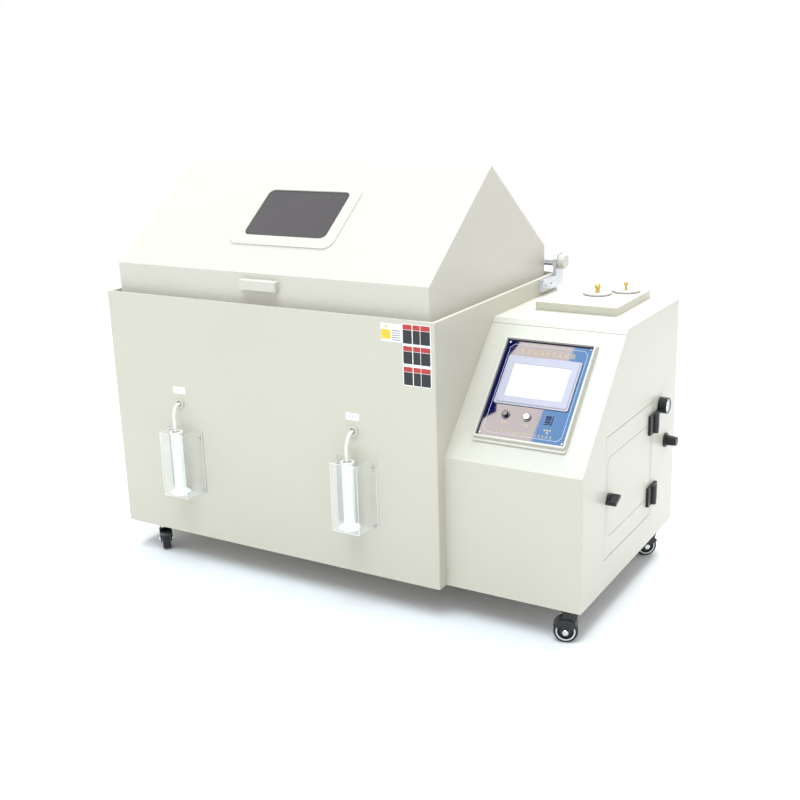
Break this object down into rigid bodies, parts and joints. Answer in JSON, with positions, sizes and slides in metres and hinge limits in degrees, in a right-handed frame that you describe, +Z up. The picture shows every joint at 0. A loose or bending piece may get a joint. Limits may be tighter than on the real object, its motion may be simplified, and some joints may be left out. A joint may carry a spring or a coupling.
{
  "type": "environmental test chamber",
  "caption": "Salt-spray test chamber: a PVC tank with a pitched hinged lid, front fog collectors and a sloped control cabinet with a service door, on swivel casters.",
  "frame": {"origin": "on the floor below the middle of the bounding box, between the wheels", "axes": "+X along the machine from the tank to the cabinet, +Y from the front to the rear, +Z up"},
  "size_m": [1.5614, 0.88, 1.1672],
  "materials": {
    "pvc_board": "pale warm-white PVC board, satin",
    "pvc_white": "white PVC, satin",
    "window_smoke": "dark smoked acrylic, polished",
    "clear_acrylic": "clear acrylic, polished",
    "cylinder_plastic": "translucent white polypropylene",
    "hose_silicone": "white silicone rubber hose",
    "stainless": "stainless steel, ground",
    "frame_steel": "steel angle, grey enamel",
    "navy_plate": "dark blue back-printed acrylic, glossy",
    "hmi_plastic": "pale grey-lavender ABS",
    "screen": "lit white display",
    "chrome_trim": "chrome-plated brass",
    "black_plastic": "black nylon, satin",
    "rocker_blue": "dark blue translucent plastic",
    "button_dark": "dark push button cap",
    "dial_white": "white dial",
    "lens": "clear gauge glass",
    "brass": "turned brass",
    "caster_steel": "black painted steel",
    "caster_rubber": "black rubber",
    "control_grey": "grey polyamide",
    "tank_plastic": "natural polyethylene"
  },
  "bodies": {
    "machine": {"tank_shell": "pvc_board", "rim_trough": "pvc_board", "chamber_liner": "pvc_board", "base_frame": "frame_steel", "hinge_brackets": "stainless", "bearing_housings": "pvc_white", "holder_left": "clear_acrylic", "holder_right": "clear_acrylic", "measuring_cylinders": "cylinder_plastic", "collector_hoses": "hose_silicone", "pipe_fittings": "pvc_white", "screws": "stainless", "cabinet_shell": "pvc_board", "cabinet_top_panel": "pvc_board", "panel_frame": "pvc_white", "panel_plate": "navy_plate", "hmi_bezel": "hmi_plastic", "hmi_screen": "screen", "switch_collars": "chrome_trim", "gauge_case": "black_plastic", "gauge_dial": "dial_white", "gauge_lens": "lens", "regulator_body": "black_plastic", "cable_gland": "black_plastic", "door_hinge_fixed": "black_plastic", "caster_plates": "caster_steel", "saturator_barrel": "stainless", "brine_tank": "tank_plastic", "electrical_plate": "frame_steel", "control_modules": "control_grey", "spray_tower": "clear_acrylic", "spray_nozzle": "lens", "fog_funnels": "tank_plastic", "sample_rack": "pvc_white", "heater_and_probe": "stainless"},
    "lid": {"lid_shell": "pvc_white", "window_frame": "pvc_white", "window_pane": "window_smoke", "lid_handle": "pvc_white", "hinge_arms": "pvc_white", "hinge_shaft": "stainless"},
    "door": {"service_door": "pvc_board", "door_hinge_moving": "black_plastic"},
    "latch": {"latch_knob": "black_plastic"},
    "button": {"power_button": "button_dark"},
    "key": {"key_switch": "chrome_trim"},
    "rocker_switch": {"rocker": "rocker_blue"},
    "regulator_grip": {"regulator_knob": "black_plastic"},
    "cover": {"service_cover": "pvc_board", "valve_flanges": "pvc_white"},
    "relief_fitting": {"relief_valve": "brass"},
    "filler_fitting": {"filler_plug": "brass"},
    "fork_front_left": {"caster_fork_front_left": "caster_steel"},
    "wheel_front_left": {"caster_wheel_front_left": "caster_rubber"},
    "fork_front_right": {"caster_fork_front_right": "caster_steel"},
    "wheel_front_right": {"caster_wheel_front_right": "caster_rubber"},
    "fork_rear_left": {"caster_fork_rear_left": "caster_steel"},
    "wheel_rear_left": {"caster_wheel_rear_left": "caster_rubber"},
    "fork_rear_right": {"caster_fork_rear_right": "caster_steel"},
    "wheel_rear_right": {"caster_wheel_rear_right": "caster_rubber"}
  },
  "joints": [
    {"name": "lid_hinge", "type": "hinge", "parent": "machine", "child": "lid", "pos_m": [-0.19465, 0.39, 0.85], "axis": [-1, 0, 0], "range_deg": [0, 75]},
    {"name": "service_door_hinge", "type": "hinge", "parent": "machine", "child": "door", "pos_m": [0.75365, 0.181, 0.3445], "axis": [0, 0, 1], "range_deg": [0, 110]},
    {"name": "door_latch_turn", "type": "hinge", "parent": "door", "child": "latch", "pos_m": [0.74435, -0.16, 0.342], "axis": [-1, 0, 0], "range_deg": [0, 90]},
    {"name": "power_button_press", "type": "slide", "parent": "machine", "child": "button", "axis": [0, 0.723, -0.6909], "range_m": [0, 0.003], "stiffness_N_per_m": 400},
    {"name": "key_switch_turn", "type": "hinge", "parent": "machine", "child": "key", "pos_m": [0.55185, -0.24235, 0.56125], "axis": [0, -0.723, 0.6909], "range_deg": [0, 90]},
    {"name": "rocker_tilt", "type": "hinge", "parent": "machine", "child": "rocker_switch", "pos_m": [0.61185, -0.24127, 0.56022], "axis": [1, 0, 0], "range_deg": [-10, 10]},
    {"name": "regulator_turn", "type": "hinge", "parent": "machine", "child": "regulator_grip", "pos_m": [0.75035, 0.299, 0.365], "axis": [1, 0, 0], "range_deg": [-170, 170]},
    {"name": "cover_lift", "type": "slide", "parent": "machine", "child": "cover", "axis": [0, 0, 1], "range_m": [0, 0.15]},
    {"name": "relief_valve_turn", "type": "hinge", "parent": "cover", "child": "relief_fitting", "pos_m": [0.54735, 0.25, 0.7966], "axis": [0, 0, 1], "continuous": true},
    {"name": "filler_plug_turn", "type": "hinge", "parent": "cover", "child": "filler_fitting", "pos_m": [0.60835, 0.315, 0.7966], "axis": [0, 0, 1], "continuous": true},
    {"name": "caster_swivel_front_left", "type": "hinge", "parent": "machine", "child": "fork_front_left", "pos_m": [-0.64865, -0.328, 0.08], "axis": [0, 0, 1], "continuous": true},
    {"name": "caster_roll_front_left", "type": "hinge", "parent": "fork_front_left", "child": "wheel_front_left", "pos_m": [-0.64031, -0.33663, 0.0315], "axis": [-0.7193, -0.6947, 0], "continuous": true},
    {"name": "caster_swivel_front_right", "type": "hinge", "parent": "machine", "child": "fork_front_right", "pos_m": [0.70935, -0.3165, 0.08], "axis": [0, 0, 1], "continuous": true},
    {"name": "caster_roll_front_right", "type": "hinge", "parent": "fork_front_right", "child": "wheel_front_right", "pos_m": [0.698, -0.32041, 0.0315], "axis": [-0.3256, 0.9455, 0], "continuous": true},
    {"name": "caster_swivel_rear_left", "type": "hinge", "parent": "machine", "child": "fork_rear_left", "pos_m": [-0.64865, 0.325, 0.08], "axis": [0, 0, 1], "continuous": true},
    {"name": "caster_roll_rear_left", "type": "hinge", "parent": "fork_rear_left", "child": "wheel_rear_left", "pos_m": [-0.65465, 0.31461, 0.0315], "axis": [-0.866, 0.5, 0], "continuous": true},
    {"name": "caster_swivel_rear_right", "type": "hinge", "parent": "machine", "child": "fork_rear_right", "pos_m": [0.70935, 0.293, 0.08], "axis": [0, 0, 1], "continuous": true},
    {"name": "caster_roll_rear_right", "type": "hinge", "parent": "fork_rear_right", "child": "wheel_rear_right", "pos_m": [0.69989, 0.28561, 0.0315], "axis": [-0.6157, 0.788, 0], "continuous": true}
  ]
}
